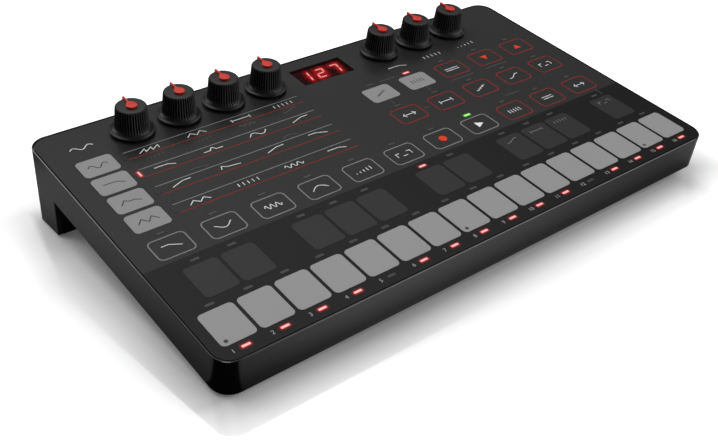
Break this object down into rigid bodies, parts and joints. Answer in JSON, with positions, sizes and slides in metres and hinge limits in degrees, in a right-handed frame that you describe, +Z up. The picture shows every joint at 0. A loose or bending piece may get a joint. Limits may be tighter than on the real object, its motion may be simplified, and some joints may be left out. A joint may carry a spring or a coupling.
{
  "type": "analog synthesizer",
  "caption": "Compact desktop analog synthesizer: sloping touch panel with flush keys, fluted knobs, lamps, a digit display and a battery foot at the rear.",
  "frame": {"origin": "on the table, under the middle of the object", "axes": "+X to the player's right, +Y to the rear, +Z up"},
  "size_m": [0.256, 0.1506, 0.0485],
  "materials": {
    "case_plastic": "black moulded plastic, satin with a fine grain",
    "overlay_print": "matte printed sheet, dark grey",
    "light_key": "matte light grey print",
    "dark_key": "matte dark grey print",
    "lamp_red": "lit red light guide",
    "lamp_off": "smoked light guide",
    "display_lens": "dark red filter",
    "segment_red": "lit red segments",
    "board": "green solder mask",
    "black_moulding": "black moulding",
    "plated_steel": "nickel plated",
    "can_aluminium": "plain can",
    "foot_rubber": "matte rubber",
    "knob_plastic": "black moulded plastic, soft sheen",
    "pointer_red": "red inlay"
  },
  "bodies": {
    "case": {"top_case": "case_plastic", "bottom_cover": "case_plastic", "panel_overlay": "overlay_print", "light_keys": "light_key", "grey_pads": "light_key", "dark_keys": "dark_key", "step_lamps": "lamp_red", "key_lamps": "lamp_off", "button_lamps": "lamp_off", "row_lamps": "lamp_off", "display_window": "display_lens", "display_segments": "segment_red", "touch_board": "board", "main_board": "board", "display_module": "black_moulding", "board_link": "black_moulding", "board_chips": "black_moulding", "audio_out_socket": "black_moulding", "audio_in_socket": "black_moulding", "control_out_socket": "black_moulding", "control_in_socket": "black_moulding", "data_socket": "plated_steel", "switch_body": "plated_steel", "battery_contacts": "plated_steel", "case_screws": "plated_steel", "board_screws": "plated_steel", "pot_1": "plated_steel", "pot_2": "plated_steel", "pot_3": "plated_steel", "pot_4": "plated_steel", "pot_5": "plated_steel", "pot_6": "plated_steel", "pot_7": "plated_steel", "capacitors": "can_aluminium", "battery_cells": "can_aluminium", "rubber_feet": "foot_rubber"},
    "power_lever": {"switch_lever": "black_moulding"},
    "door": {"battery_door": "case_plastic"},
    "dial_1": {"knob_1": "knob_plastic", "pointer_1": "pointer_red", "shaft_1": "plated_steel"},
    "dial_2": {"knob_2": "knob_plastic", "pointer_2": "pointer_red", "shaft_2": "plated_steel"},
    "dial_3": {"knob_3": "knob_plastic", "pointer_3": "pointer_red", "shaft_3": "plated_steel"},
    "dial_4": {"knob_4": "knob_plastic", "pointer_4": "pointer_red", "shaft_4": "plated_steel"},
    "dial_5": {"knob_5": "knob_plastic", "pointer_5": "pointer_red", "shaft_5": "plated_steel"},
    "dial_6": {"knob_6": "knob_plastic", "pointer_6": "pointer_red", "shaft_6": "plated_steel"},
    "dial_7": {"knob_7": "knob_plastic", "pointer_7": "pointer_red", "shaft_7": "plated_steel"}
  },
  "joints": [
    {"name": "dial_1_turn", "type": "hinge", "parent": "case", "child": "dial_1", "pos_m": [-0.08806, 0.05573, 0.03452], "axis": [0, -0.1381, 0.9904], "range_deg": [-150, 150]},
    {"name": "dial_2_turn", "type": "hinge", "parent": "case", "child": "dial_2", "pos_m": [-0.06602, 0.05573, 0.03452], "axis": [0, -0.1381, 0.9904], "range_deg": [-150, 150]},
    {"name": "dial_3_turn", "type": "hinge", "parent": "case", "child": "dial_3", "pos_m": [-0.04398, 0.05573, 0.03452], "axis": [0, -0.1381, 0.9904], "range_deg": [-150, 150]},
    {"name": "dial_4_turn", "type": "hinge", "parent": "case", "child": "dial_4", "pos_m": [-0.02194, 0.05573, 0.03452], "axis": [0, -0.1381, 0.9904], "range_deg": [-150, 150]},
    {"name": "dial_5_turn", "type": "hinge", "parent": "case", "child": "dial_5", "pos_m": [0.04418, 0.05573, 0.03452], "axis": [0, -0.1381, 0.9904], "range_deg": [-150, 150]},
    {"name": "dial_6_turn", "type": "hinge", "parent": "case", "child": "dial_6", "pos_m": [0.06622, 0.05573, 0.03452], "axis": [0, -0.1381, 0.9904], "range_deg": [-150, 150]},
    {"name": "dial_7_turn", "type": "hinge", "parent": "case", "child": "dial_7", "pos_m": [0.08826, 0.05573, 0.03452], "axis": [0, -0.1381, 0.9904], "range_deg": [-150, 150]},
    {"name": "power_slide", "type": "slide", "parent": "case", "child": "power_lever", "axis": [1, 0, 0], "range_m": [-0.0022, 0]},
    {"name": "door_slide", "type": "slide", "parent": "case", "child": "door", "axis": [0, -1, 0], "range_m": [0, 0.018]}
  ]
}
